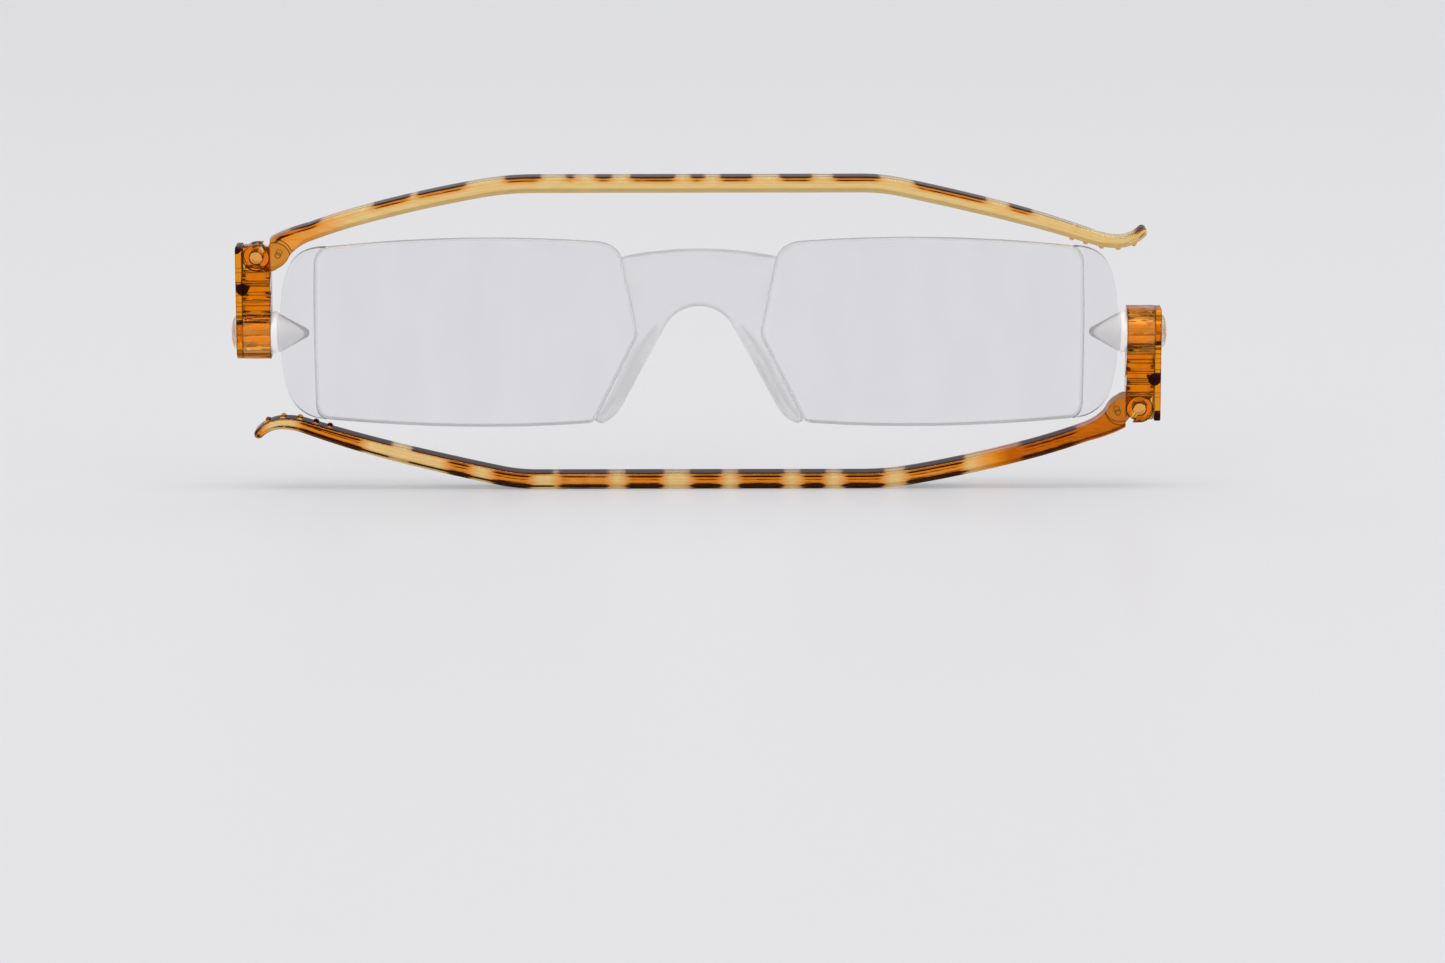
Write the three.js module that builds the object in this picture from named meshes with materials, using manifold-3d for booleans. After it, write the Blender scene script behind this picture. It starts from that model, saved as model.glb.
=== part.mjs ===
// Folding reading glasses, folded flat and standing on the straight of the lower temple.
//
// Millimetres. +X runs along the front towards the wearer's left lens, +Y points back to the wearer,
// +Z is up. The origin is on the standing surface, under the middle of the bridge.
//
// A clear front (bridge, two lenses, two end lugs) carries a split pin at each end, along X. An amber end
// piece turns on each pin, and a temple folds on the end piece about a second pin, along Y. The two sides
// are the same parts, turned half a turn about Y: the right temple lies above the front, the left one below.
import * as THREE from 'three';
import { mergeVertices } from 'three/addons/utils/BufferGeometryUtils.js';
import Module from 'manifold-3d';

const wasm = await Module();
wasm.setup();

// ---------------------------------------------------------------- sizes

// Clearances
const seam = 0.05; // between bonded pieces
const runningGap = 0.1; // radial, round a turning pin
const slideGap = 0.15; // between faces that turn past each other

// Front, seen from ahead. Heights here are from the swivel axis.
const lensWidth = 50.05; // widest, from the waist of the bridge to the lug
const lensTop = 14.85;
const lensBottom = 14.8;
const lensTopSag = 1.4; // how far the top edge falls away at the outer corner
const lensBottomSag = 1.15; // and the bottom edge rises
const lensThickness = 1.6;
const bridgeTopHalf = 11.9; // half widths of the bridge: where it meets the lens's upper corner,
const bridgeWaistHalf = 9.5; // at its waist
const bridgeFootHalf = 16.2; // and at the foot of the nose rests
const bridgeTop = 12.9;
const bridgeEndTop = 11.75;
const bridgeThickness = 3.2;
const noseArchTop = 4.2;
const noseArchRadius = 5.8;
const noseSlope = 62; // degrees from level, of the rests' sides
const noseRestWidth = 2.4;
const noseRestReach = 3.2; // how far the rests stand back
const lugWidth = 5.3;
const lugThickness = 1.8;
const bossRadius = 3;
const bossLength = 4.7;
const bossStandOff = 0.25; // how far the boss stands out past the lug's edge

// Swivel: washer, split pin, end piece and side plate, from the front outwards
const washerThickness = 0.95;
const washerRadius = 3.27;
const washerChamfer = 0.15;
const journalRadius = 2.5;
const neckRadius = 2.1;
const headRadius = 2.6;
const headHeight = 0.85;
const headRim = 0.15; // straight edge under the dome
const spigotRadius = 1;
const spigotLength = 2.2;
const slotWidth = 0.5;
const blockWidth = 4.25;
const barrelHalfDepth = 2.8;
const barrelDrop = 3.85; // how far the end piece reaches past the swivel axis
const barrelFoot = 2.9; // and how far the barrel reaches along the arm
const barrelRound = 1.6;
const armHalfDepth = 2.4;
const grooveDepth = 0.25;
const gripGrooves = [[3.3, 4.65], [6.4, 7.9]]; // heights of the two grip grooves
const plateThickness = 1;
const plateHalfDepth = 2.6;
const plateRound = 0.8;

// Temple hinge: two ears on the temple grip the pin on both sides of the end piece's knuckle
const armPitch = 12; // swivel axis to hinge axis
const hingePinRadius = 0.9;
const earHalfDepth = 1.85;
const mouthWidth = 0.9; // snap-in mouth of the ears, narrower than the pin
const mouthLean = 52; // degrees, from the way the temple points
const knuckleHalfDepth = 0.85;
const plateOverHinge = 1.8; // how far the side plate reaches past the hinge axis

// Temple. The bar is a chain of straights and arcs: [length, turn in degrees], from the hinge to the tip.
const templeThickness = 2.45;
const templeDepth = 4;
const templeRound = 0.4;
const archHeight = 10.05; // hinge axis to the inner face on the straight
const risingSpans = [[9, -5], [18, -5], [8.5, -10]];
const fallingSpans = [[6, -12], [14.5, -2], [16.5, -4.8]];
const hookSpans = [[3.6, 18.8], [4.2, 46]];
const tipThickness = 1.4;
const taperLength = 36;
const taperPower = 2.6;
const tipPast = 0.1; // how far the tip ends past the other side's hinge axis
const rootStep = 0.82; // the root's end face stands this high above the ears
const heelDepth = 3;
const heelFlare = 3.3; // the heel widens into the bar along this length
const bumpRadius = 0.5;
const bumpSink = 0.12; // how deep the bumps' centres lie under the face
const bumpStart = 1.9; // the last bump to the tip
const bumpPitch = 2.35;
const bumpRows = 2.5; // distance between the two rows
const bumpCount = 5;

// Derived places. Radii from the middle, and heights.
const lensOuterX = bridgeWaistHalf + lensWidth;
const frontX = lensOuterX + lugWidth;
const bossFaceX = frontX + bossStandOff;
const blockInnerX = bossFaceX + seam + washerThickness + seam;
const blockOuterX = blockInnerX + blockWidth;
const plateInnerX = blockOuterX + seam;
const plateOuterX = plateInnerX + plateThickness;
const headTopX = plateOuterX + seam + headHeight;
const earRadius = blockWidth / 2 - seam;
const shoulder = earRadius + runningGap; // hinge axis to the end of the arm
const rootX = earRadius + runningGap; // hinge axis to the root's end face
const rootHeight = earRadius + rootStep; // hinge axis to the outer face at the root
const heelReach = rootX + heelDepth; // hinge axis to the back of the heel
const barStart = heelReach + heelFlare; // hinge axis to where the bar has its full thickness
const hingeX = blockInnerX + blockWidth / 2;
const swivelHeight = armPitch + archHeight + templeThickness;

const RAD = Math.PI / 180;
const ROUND = 32; // sides of a full circle
const curveSteps = 8; // straight pieces in each drawn curve

// ---------------------------------------------------------------- materials

const amber = new THREE.MeshStandardMaterial({ color: 0xb8671a, roughness: 0.18, metalness: 0 });
const tortoise = new THREE.MeshStandardMaterial({ color: 0x9a5216, roughness: 0.18, metalness: 0 });
const clear = new THREE.MeshStandardMaterial({ color: 0xe6e7ea, roughness: 0.08, metalness: 0 });
const lensClear = new THREE.MeshStandardMaterial({ color: 0xe2e5e9, roughness: 0.03, metalness: 0 });
const frosted = new THREE.MeshStandardMaterial({ color: 0xdcdcdf, roughness: 0.45, metalness: 0 });

// ---------------------------------------------------------------- solids

// A closed three.js geometry as a manifold-3d solid.
function solid(geometry) {
  const bare = geometry.clone();
  bare.deleteAttribute('normal');
  bare.deleteAttribute('uv');
  const merged = mergeVertices(bare, 1e-4);
  return new wasm.Manifold(new wasm.Mesh({
    numProp: 3,
    vertProperties: new Float32Array(merged.attributes.position.array),
    triVerts: new Uint32Array(merged.index.array),
  }));
}

// A manifold-3d solid as a named mesh.
function piece(name, made, material) {
  const { vertProperties, triVerts } = made.getMesh();
  const geometry = new THREE.BufferGeometry();
  geometry.setAttribute('position', new THREE.BufferAttribute(new Float32Array(vertProperties), 3));
  geometry.setIndex(new THREE.BufferAttribute(new Uint32Array(triVerts), 1));
  geometry.computeVertexNormals();
  const mesh = new THREE.Mesh(geometry, material);
  mesh.name = name;
  return mesh;
}

// A shape pushed out to a given length along +Z, with its edges rounded by round.
function pushedOut(shape, length, round) {
  const drawn = shape.extractPoints(curveSteps).shape;
  const apart = drawn.filter((point, i) => point.distanceTo(drawn.at(i - 1)) > 1e-3);
  return new THREE.ExtrudeGeometry(new THREE.Shape(apart), {
    depth: length - 2 * round,
    bevelEnabled: round > 0,
    bevelThickness: round,
    bevelSize: round,
    bevelOffset: -round,
    bevelSegments: 2,
  });
}

// A shape drawn in X and Z, as a slab from yFrom to yTo, with its edges rounded by round.
function slab(shape, yFrom, yTo, round = 0) {
  const geometry = pushedOut(shape, yTo - yFrom, round);
  geometry.rotateX(Math.PI / 2); // the shape's y becomes Z, and its depth runs towards -Y
  geometry.translate(0, yTo - round, 0);
  return solid(geometry);
}

// A profile drawn in Y and Z, as a bar from xFrom to xTo, with its edges rounded by round.
function bar(shape, xFrom, xTo, round = 0) {
  const geometry = pushedOut(shape, xTo - xFrom, round);
  geometry.rotateX(Math.PI / 2);
  geometry.rotateZ(Math.PI / 2); // the shape's x becomes Y, its y becomes Z, and its depth runs along +X
  geometry.translate(xFrom + round, 0, 0);
  return solid(geometry);
}

// A solid of revolution about an axis along X through the swivel: a list of [radius, x] from end to end.
function turned(profile) {
  const points = profile.map(([radius, x]) => new THREE.Vector2(radius, x));
  const geometry = new THREE.LatheGeometry(points, ROUND);
  geometry.rotateZ(-Math.PI / 2); // the lathe's Y axis becomes X
  return solid(geometry);
}

// A plain rod along X or Y.
function rodX(radius, xFrom, xTo) {
  return turned([[0, xFrom], [radius, xFrom], [radius, xTo], [0, xTo]]);
}

function rodY(radius, halfLength, x, z) {
  const geometry = new THREE.CylinderGeometry(radius, radius, 2 * halfLength, ROUND);
  geometry.translate(x, 0, z);
  return solid(geometry);
}

// A closed shape through corners [x, z, cut]: each corner is rounded from cut before it to cut after it.
function roundedShape(corners) {
  const shape = new THREE.Shape();
  const at = (i) => corners[(i + corners.length) % corners.length];
  const towards = ([x, z, cut = 0], [toX, toZ]) => {
    const share = cut / Math.hypot(toX - x, toZ - z);
    return [x + (toX - x) * share, z + (toZ - z) * share];
  };
  corners.forEach((corner, i) => {
    const [x, z, cut = 0] = corner;
    const start = towards(corner, at(i - 1));
    if (i === 0) shape.moveTo(...start);
    else shape.lineTo(...start);
    if (cut > 0) shape.quadraticCurveTo(x, z, ...towards(corner, at(i + 1)));
  });
  shape.closePath();
  return shape;
}

// ---------------------------------------------------------------- front

// The lens's border, from its upper inner corner round by the top: side is 1 on the left, -1 on the right.
// The outer part of the border stands out further by grow.
function lensShape(side, grow = 0) {
  const outerX = lensOuterX + grow;
  const top = lensTop + grow;
  const bottom = -lensBottom - grow;
  const cornerX = outerX - 2.25;
  const cutX = bridgeTopHalf + 2.7;
  const middleX = (cutX + cornerX) / 2;
  const shape = new THREE.Shape();
  shape.moveTo(side * bridgeTopHalf, bridgeEndTop);
  shape.quadraticCurveTo(side * (cutX - 1.7), top - 1.1, side * (cutX + 0.8), top - 0.7);
  shape.quadraticCurveTo(side * middleX, top + 0.85, side * cornerX, top - lensTopSag);
  shape.quadraticCurveTo(side * (outerX - 0.2), top - 1.7, side * (outerX - 0.15), top - 4);
  shape.quadraticCurveTo(side * (outerX + 0.15), 0, side * (outerX - 0.15), bottom + 3.6);
  shape.quadraticCurveTo(side * (outerX - 0.2), bottom + 1.4, side * cornerX, bottom + lensBottomSag);
  shape.quadraticCurveTo(side * middleX, bottom - 0.85, side * (bridgeFootHalf + 1.6), bottom + 0.45);
  shape.quadraticCurveTo(side * (bridgeFootHalf + 0.3), bottom + 0.5, side * bridgeFootHalf, bottom + 1.1);
  shape.lineTo(side * (bridgeWaistHalf + 0.35), -0.95);
  shape.quadraticCurveTo(side * bridgeWaistHalf, -0.1, side * (bridgeWaistHalf + 0.15), 0.7);
  shape.closePath();
  return shape;
}

function lens(side) {
  return slab(lensShape(side), -lensThickness / 2, lensThickness / 2, 0.3);
}

// The end lug: a crescent that closes the front's outline outside the lens, with a cone-shaped boss on the
// swivel axis, bored for the pin's spigot.
function lug(side) {
  const hornX = lensOuterX - 2.1;
  const hornTop = lensTop - lensTopSag;
  const hornBottom = lensBottomSag - lensBottom;
  const shape = new THREE.Shape();
  shape.moveTo(side * hornX, hornTop);
  shape.bezierCurveTo(side * (frontX - 1.2), hornTop, side * (frontX - 0.3), hornTop - 3.95,
    side * frontX, 1);
  shape.lineTo(side * frontX, -1);
  shape.bezierCurveTo(side * (frontX - 0.3), hornBottom + 4.1, side * (frontX - 1.5), hornBottom + 0.4,
    side * hornX, hornBottom);
  shape.closePath();
  const grownLens = slab(lensShape(side, seam), -lugThickness, lugThickness);
  const crescent = slab(shape, -lugThickness / 2, lugThickness / 2).subtract(grownLens);
  const apexX = bossFaceX - bossLength;
  const boss = turned([[0, apexX], [0.4, apexX], [bossRadius, bossFaceX - 0.3], [bossRadius, bossFaceX],
    [0, bossFaceX]]);
  const bore = rodX(spigotRadius + seam, bossFaceX - spigotLength - seam, bossFaceX + 1);
  const placed = (made) => (side > 0 ? made : made.rotate([0, 180, 0]));
  return crescent.add(placed(boss)).subtract(placed(bore));
}

// The opening that sits on the nose: an arch with sloping sides that flare out at the foot.
function noseOpening() {
  const slope = noseSlope * RAD;
  const archZ = noseArchTop - noseArchRadius;
  const sideX = noseArchRadius * Math.sin(slope);
  const sideZ = archZ + noseArchRadius * Math.cos(slope);
  const flareZ = 3.2 - lensBottom;
  const flareX = sideX + (sideZ - flareZ) / Math.tan(slope);
  const footX = flareX + 3.1;
  return { archZ, sideX, sideZ, flareX, flareZ, footX, footZ: 0.5 - lensBottom, slope };
}

function bridge() {
  const nose = noseOpening();
  const foot = [bridgeFootHalf - seam, 1.05 - lensBottom];
  const plate = new THREE.Shape();
  plate.moveTo(-(bridgeTopHalf - seam), bridgeEndTop - 0.1);
  plate.quadraticCurveTo(0, 2 * bridgeTop - bridgeEndTop, bridgeTopHalf - seam, bridgeEndTop - 0.1);
  plate.lineTo(bridgeWaistHalf + 0.15 - seam, 0.7);
  plate.quadraticCurveTo(bridgeWaistHalf - seam, -0.1, bridgeWaistHalf + 0.35 - seam, -0.95);
  plate.lineTo(...foot);
  plate.lineTo(nose.footX, nose.footZ);
  plate.quadraticCurveTo(nose.flareX + 1.2, nose.footZ + 0.6, nose.flareX, nose.flareZ);
  plate.lineTo(nose.sideX, nose.sideZ);
  plate.absarc(0, nose.archZ, noseArchRadius, Math.PI / 2 - nose.slope, Math.PI / 2 + nose.slope, false);
  plate.lineTo(-nose.flareX, nose.flareZ);
  plate.quadraticCurveTo(-(nose.flareX + 1.2), nose.footZ + 0.6, -nose.footX, nose.footZ);
  plate.lineTo(-foot[0], foot[1]);
  plate.lineTo(-(bridgeWaistHalf + 0.35 - seam), -0.95);
  plate.quadraticCurveTo(-(bridgeWaistHalf - seam), -0.1, -(bridgeWaistHalf + 0.15 - seam), 0.7);
  plate.closePath();
  let made = slab(plate, -bridgeThickness / 2, bridgeThickness / 2, 0.25);
  for (const side of [1, -1]) made = made.add(noseRest(side, nose));
  return made;
}

// A rest stands back from one leg of the bridge, along the side of the opening.
function noseRest(side, nose) {
  const across = [noseRestWidth * Math.sin(nose.slope), noseRestWidth * Math.cos(nose.slope)];
  const lowX = nose.flareX + 0.45;
  const lowZ = nose.flareZ - 0.7;
  const shape = roundedShape([
    [side * (nose.sideX + 0.3), nose.sideZ - 0.6, 1],
    [side * (nose.sideX + 0.3 + across[0]), nose.sideZ - 0.6 + across[1] - 1.5, 1],
    [side * (lowX + across[0]), lowZ + across[1] - 1, 1],
    [side * lowX, lowZ, 1],
  ]);
  return slab(shape, -1.2, noseRestReach, 0.2);
}

// ---------------------------------------------------------------- swivel pin and washer

// Everything below is made for the left side, at +X with the end piece pointing down, in heights from the
// swivel axis. The right side is the same parts turned half a turn about Y.

// A clear snap pin: a spigot bonded into the lug, a journal, a neck through the side plate and a domed
// head. A slot splits it, so that the head can be pressed through the plate and the halves grip the bore.
function swivelPin() {
  const journalEndX = plateInnerX - slideGap;
  const headFootX = plateOuterX + seam;
  const journalX = bossFaceX + seam;
  const spigotX = bossFaceX - spigotLength;
  const profile = [[0, spigotX], [spigotRadius, spigotX], [spigotRadius, journalX], [journalRadius, journalX],
    [journalRadius, journalEndX], [neckRadius, journalEndX], [neckRadius, headFootX], [headRadius, headFootX]];
  const domeSteps = 5;
  for (let i = 0; i <= domeSteps; i++) {
    const lean = (i / domeSteps) * Math.PI / 2;
    const radius = i === domeSteps ? 0 : headRadius * Math.cos(lean);
    profile.push([radius, headFootX + headRim + (headHeight - headRim) * Math.sin(lean)]);
  }
  const slotFrom = bossFaceX + washerThickness;
  const slot = new THREE.BoxGeometry(headTopX + 1 - slotFrom, 4 * journalRadius, slotWidth);
  slot.translate((headTopX + 1 + slotFrom) / 2, 0, 0);
  return turned(profile).subtract(solid(slot));
}

function washer() {
  const from = bossFaceX + seam;
  const to = from + washerThickness;
  const inner = journalRadius + runningGap;
  const cut = washerChamfer;
  return turned([[inner, from], [washerRadius - cut, from], [washerRadius, from + cut],
    [washerRadius, to - cut], [washerRadius - cut, to], [inner, to], [inner, from]]);
}

// ---------------------------------------------------------------- end piece

// The end piece: a barrel round the swivel pin, an arm with grip grooves, and a knuckle round the temple's
// pin, between the temple's ears. The knuckle is squared off on the side plate's side.
function endPiece() {
  const armEnd = armPitch - shoulder;
  const edgeOf = (sign) => {
    const wide = sign * armHalfDepth;
    const deep = sign * (armHalfDepth - grooveDepth);
    const edge = [[sign * barrelHalfDepth, barrelDrop, barrelRound], [sign * barrelHalfDepth, -barrelFoot, 0.2]];
    edge.push([wide, -gripGrooves[0][0] + 0.05]);
    for (const [low, high] of gripGrooves) {
      edge.push([deep, -low, 0.1], [deep, -high, 0.1], [wide, -high - 0.1, 0.05], [wide, -high - 0.6]);
    }
    return [...edge, [wide, -armEnd, 0.3]];
  };
  const profile = roundedShape([...edgeOf(1), ...edgeOf(-1).reverse()]);
  const block = bar(profile, blockInnerX, blockOuterX);
  const bore = rodX(journalRadius + runningGap, blockInnerX - 1, blockOuterX + 1);
  const ring = new THREE.Shape();
  ring.absarc(hingeX, -armPitch, earRadius, 0, 2 * Math.PI, false);
  const overlap = 0.5; // the knuckle's foot runs this far into the arm
  const foot = roundedShape([[hingeX - earRadius, -armPitch], [hingeX, -armPitch],
    [hingeX, -armPitch - plateOverHinge], [blockOuterX, -armPitch - plateOverHinge, 0.3],
    [blockOuterX, -armEnd + overlap], [hingeX - earRadius, -armEnd + overlap]]);
  return block
    .subtract(bore)
    .add(slab(ring, -knuckleHalfDepth, knuckleHalfDepth))
    .add(slab(foot, -knuckleHalfDepth, knuckleHalfDepth))
    .subtract(rodY(hingePinRadius + seam, 2 * knuckleHalfDepth, hingeX, -armPitch));
}

// The side plate closes the end piece on the outside. Its end past the hinge is the stop of the open temple.
function sidePlate() {
  const end = armPitch + plateOverHinge;
  const profile = roundedShape([
    [-plateHalfDepth, barrelDrop, barrelRound], [plateHalfDepth, barrelDrop, barrelRound],
    [plateHalfDepth, -end, plateRound], [-plateHalfDepth, -end, plateRound],
  ]);
  const hole = rodX(neckRadius + runningGap, plateInnerX - 1, plateOuterX + 1);
  return bar(profile, plateInnerX, plateOuterX, 0.15).subtract(hole);
}

function hingePin() {
  return rodY(hingePinRadius, earHalfDepth - seam, hingeX, -armPitch);
}

// ---------------------------------------------------------------- temple

// The temple is drawn in a frame of its own: the hinge axis at 0, x towards the tip and z away from the front.

// Walks along spans of [length, turn in degrees] from a station [x, z, heading], a few degrees at a time.
function walk(spans, station, degrees) {
  const line = [];
  let [x, z, heading] = station;
  for (const [length, turn] of spans) {
    const count = Math.max(1, Math.ceil(Math.abs(turn) / degrees));
    for (let i = 0; i < count; i++) {
      const middle = heading + turn / count / 2;
      x += (length / count) * Math.cos(middle * RAD);
      z += (length / count) * Math.sin(middle * RAD);
      heading += turn / count;
      line.push([x, z, heading]);
    }
  }
  return line;
}

// The middle line, as stations [x, z, heading, half thickness]. It is level on the straight, whose length
// brings the tip to the other end of the front.
function middleLine() {
  const firstHeading = -risingSpans.reduce((sum, [, turn]) => sum + turn, 0);
  const rise = walk(risingSpans, [0, 0, firstHeading], 3).at(-1)[1];
  const start = [barStart, archHeight + templeThickness / 2 - rise, firstHeading];
  const around = [...fallingSpans, ...hookSpans];
  const [shortReach] = walk([...risingSpans, ...around], start, 3).at(-1);
  const straight = 2 * hingeX + tipPast - shortReach;
  const line = [start, ...walk([...risingSpans, [straight, 0], ...around], start, 3)];
  const [endX] = line.at(-1);
  return line.map(([x, z, heading]) => {
    const gone = Math.max(0, 1 - (endX - x) / taperLength) ** taperPower;
    return [x, z, heading, (templeThickness + (tipThickness - templeThickness) * gone) / 2];
  });
}

// The outline of bar and heel. The heel's back is round the hinge axis, and the root's end face is the stop
// of the open temple.
function templeOutline() {
  const stations = middleLine();
  const beside = ([x, z, heading, half], sign) =>
    [x - sign * half * Math.sin(heading * RAD), z + sign * half * Math.cos(heading * RAD)];
  const outer = stations.map((station) => beside(station, 1));
  const inner = stations.map((station) => beside(station, -1)).reverse();
  const [tipX, tipZ, tipHeading, tipHalf] = stations.at(-1);
  const shape = new THREE.Shape();
  shape.moveTo(rootX, rootHeight);
  shape.quadraticCurveTo(rootX + 2.4, rootHeight + 1.3, ...outer[0]);
  for (const point of outer.slice(1)) shape.lineTo(...point);
  shape.absarc(tipX, tipZ, tipHalf, (tipHeading + 90) * RAD, (tipHeading - 90) * RAD, true);
  for (const point of inner) shape.lineTo(...point);
  const [innerX, innerZ] = inner.at(-1);
  shape.quadraticCurveTo(innerX - 2.4, innerZ - 0.8, heelReach, 0.3);
  shape.quadraticCurveTo(heelReach - 0.8, -1.6, rootX, -earRadius);
  shape.closePath();
  return shape;
}

// The two ears: a ring on the pin, joined to the heel below the mouth that snaps over the pin.
function ears() {
  const ring = new THREE.Shape();
  ring.absarc(0, 0, earRadius, 0, 2 * Math.PI, false);
  const neck = roundedShape([[0, earRadius], [rootX + 1, earRadius], [rootX + 1, -earRadius + 0.3],
    [rootX + 0.3, -earRadius], [0, -earRadius]]);
  const mouth = roundedShape([[0, -mouthWidth / 2], [2 * earRadius, -mouthWidth / 2],
    [2 * earRadius, mouthWidth / 2], [0, mouthWidth / 2]]);
  const inside = knuckleHalfDepth + slideGap;
  const made = [[inside, earHalfDepth], [-earHalfDepth, -inside]].map(([yFrom, yTo]) =>
    slab(ring, yFrom, yTo).add(slab(neck, yFrom, yTo)));
  const cut = slab(mouth, -earHalfDepth - 1, earHalfDepth + 1).rotate([0, -mouthLean, 0]);
  return made[0].add(made[1]).subtract(cut);
}

function temple() {
  const bore = rodY(hingePinRadius + runningGap, templeDepth, 0, 0);
  return slab(templeOutline(), -templeDepth / 2, templeDepth / 2, templeRound)
    .add(ears())
    .subtract(bore)
    .add(gripBumps());
}

// Two rows of bumps on the inner face at the tip.
function gripBumps() {
  const curve = new THREE.CatmullRomCurve3(middleLine().map(([x, z, heading, half]) => {
    const drop = half - bumpSink;
    return new THREE.Vector3(x + drop * Math.sin(heading * RAD), 0, z - drop * Math.cos(heading * RAD));
  }));
  curve.arcLengthDivisions = 1000;
  const length = curve.getLength();
  let bumps = null;
  for (let i = 0; i < bumpCount; i++) {
    const point = curve.getPointAt(1 - (bumpStart + i * bumpPitch) / length);
    for (const row of [-bumpRows / 2, bumpRows / 2]) {
      const ball = new THREE.SphereGeometry(bumpRadius, 10, 6);
      ball.rotateX(Math.PI / 2);
      ball.translate(point.x, row, point.z);
      bumps = bumps ? bumps.add(solid(ball)) : solid(ball);
    }
  }
  return bumps;
}

// ---------------------------------------------------------------- assembly

const glasses = new THREE.Group();

const front = new THREE.Group();
front.position.z = swivelHeight;
front.add(
  piece('bridge', bridge(), frosted),
  piece('lens_left', lens(1), lensClear),
  piece('lens_right', lens(-1), lensClear),
  piece('lug_left', lug(1), clear),
  piece('lug_right', lug(-1), clear),
);
glasses.add(front);

for (const [name, turn] of [['left', 0], ['right', Math.PI]]) {
  const side = new THREE.Group();
  side.position.z = swivelHeight;
  side.rotation.y = turn;

  const folded = new THREE.Group(); // the temple's own frame, lying back along the front
  folded.position.set(hingeX, 0, -armPitch);
  folded.rotation.y = Math.PI;
  folded.add(piece(`temple_${name}`, temple(), tortoise));

  side.add(
    piece(`swivel_pin_${name}`, swivelPin(), clear),
    piece(`swivel_washer_${name}`, washer(), clear),
    piece(`end_piece_${name}`, endPiece(), amber),
    piece(`side_plate_${name}`, sidePlate(), tortoise),
    piece(`hinge_pin_${name}`, hingePin(), amber),
    folded,
  );
  glasses.add(side);
}

export default glasses;
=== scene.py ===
"""Folding reading glasses with tortoiseshell temples: the finished looks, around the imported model."""

import math

import bmesh
import bpy
import numpy as np
from mathutils import Matrix, Vector


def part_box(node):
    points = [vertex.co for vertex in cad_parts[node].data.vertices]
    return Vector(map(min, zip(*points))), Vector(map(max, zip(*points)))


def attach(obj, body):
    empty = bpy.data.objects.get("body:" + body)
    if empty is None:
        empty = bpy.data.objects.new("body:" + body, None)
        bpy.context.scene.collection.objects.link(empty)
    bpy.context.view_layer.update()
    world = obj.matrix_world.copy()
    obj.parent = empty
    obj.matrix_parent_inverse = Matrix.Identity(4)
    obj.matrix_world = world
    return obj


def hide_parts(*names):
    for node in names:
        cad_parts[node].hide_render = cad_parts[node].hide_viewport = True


bl_info = {
    "name": "Folding reading glasses",
    "version": (1, 0, 0),
    "blender": (4, 5, 0),
    "location": "3D View > Sidebar > Glasses",
    "description": "Makes rimless folding reading glasses with tortoiseshell temples",
    "category": "Add Mesh",
}

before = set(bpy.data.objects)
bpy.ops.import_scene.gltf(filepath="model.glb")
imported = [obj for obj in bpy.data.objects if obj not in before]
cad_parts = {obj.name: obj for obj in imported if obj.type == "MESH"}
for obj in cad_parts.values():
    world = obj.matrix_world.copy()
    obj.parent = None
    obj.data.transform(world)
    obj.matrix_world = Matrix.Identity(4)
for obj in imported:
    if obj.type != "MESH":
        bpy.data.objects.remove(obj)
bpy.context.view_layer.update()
SIDES = {"left": 1, "right": -1}
MM = 0.001


# ---------------- where things are

def middle(node):
    """The middle of a node's box, as an array in metres."""
    low, high = (np.array(corner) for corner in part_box(node))
    return (low + high) / 2


HINGE = {name: middle(f"hinge_pin_{name}") for name in SIDES}
SWIVEL_HEIGHT = (HINGE["left"][2] + HINGE["right"][2]) / 2
FRONT_THICKNESS = float(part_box("lens_left")[1][1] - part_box("lens_left")[0][1])


# ---------------- settings

def number(label, description, default, **more):
    """A number for a property group."""
    return bpy.props.FloatProperty(name=label, description=description, default=default, **more)


def length(label, description, default, high=1.0):
    """A length in metres for a property group."""
    return number(label, description, default, min=0.0, max=high, subtype="DISTANCE", unit="LENGTH",
                  precision=5)


def angle(label, description, degrees):
    """An angle for a property group, given in degrees."""
    return number(label, description, math.radians(degrees), subtype="ANGLE", unit="ROTATION")


def colour(label, description, default):
    """A linear colour for a property group."""
    return bpy.props.FloatVectorProperty(name=label, description=description, default=default, size=3,
                                         min=0.0, max=1.0, subtype="COLOR")


class GlassesSizes(bpy.types.PropertyGroup):
    """Sizes of the finished pieces."""
    temple_thickness: length("Temple thickness", "Bar thickness seen from the front", 2.45 * MM)
    temple_depth: length("Temple depth", "Bar depth from front to back", 4.0 * MM)
    tip_thickness: length("Tip thickness", "Bar thickness at the tip", 1.4 * MM)
    taper_length: length("Taper length", "How far from the tip the bar starts to taper", 36 * MM)
    temple_round: length("Temple rounding", "Radius of the bar's long edges", 0.45 * MM)
    arch_height: length("Arch height", "Height of the bar's middle over the hinge axis", 10.05 * MM)
    bar_start: length("Bar start", "Distance from the hinge axis to the start of the even bar", 8.475 * MM)
    ear_radius: length("Ear radius", "Radius of the ears round the hinge pin", 2.075 * MM)
    root_start: length("Root start", "Distance from the hinge axis to the root's end face", 2.175 * MM)
    root_height: length("Root height", "Height of the root's end face over the hinge axis", 2.895 * MM)
    heel_reach: length("Heel reach", "How far the heel reaches from the hinge axis", 5.175 * MM)
    lens_crown: length("Lens crown", "How much the lens front is domed", 0.5 * MM)
    lens_bevel: length("Lens bevel", "Width of the polished bevel round each lens", 0.35 * MM)


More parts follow.
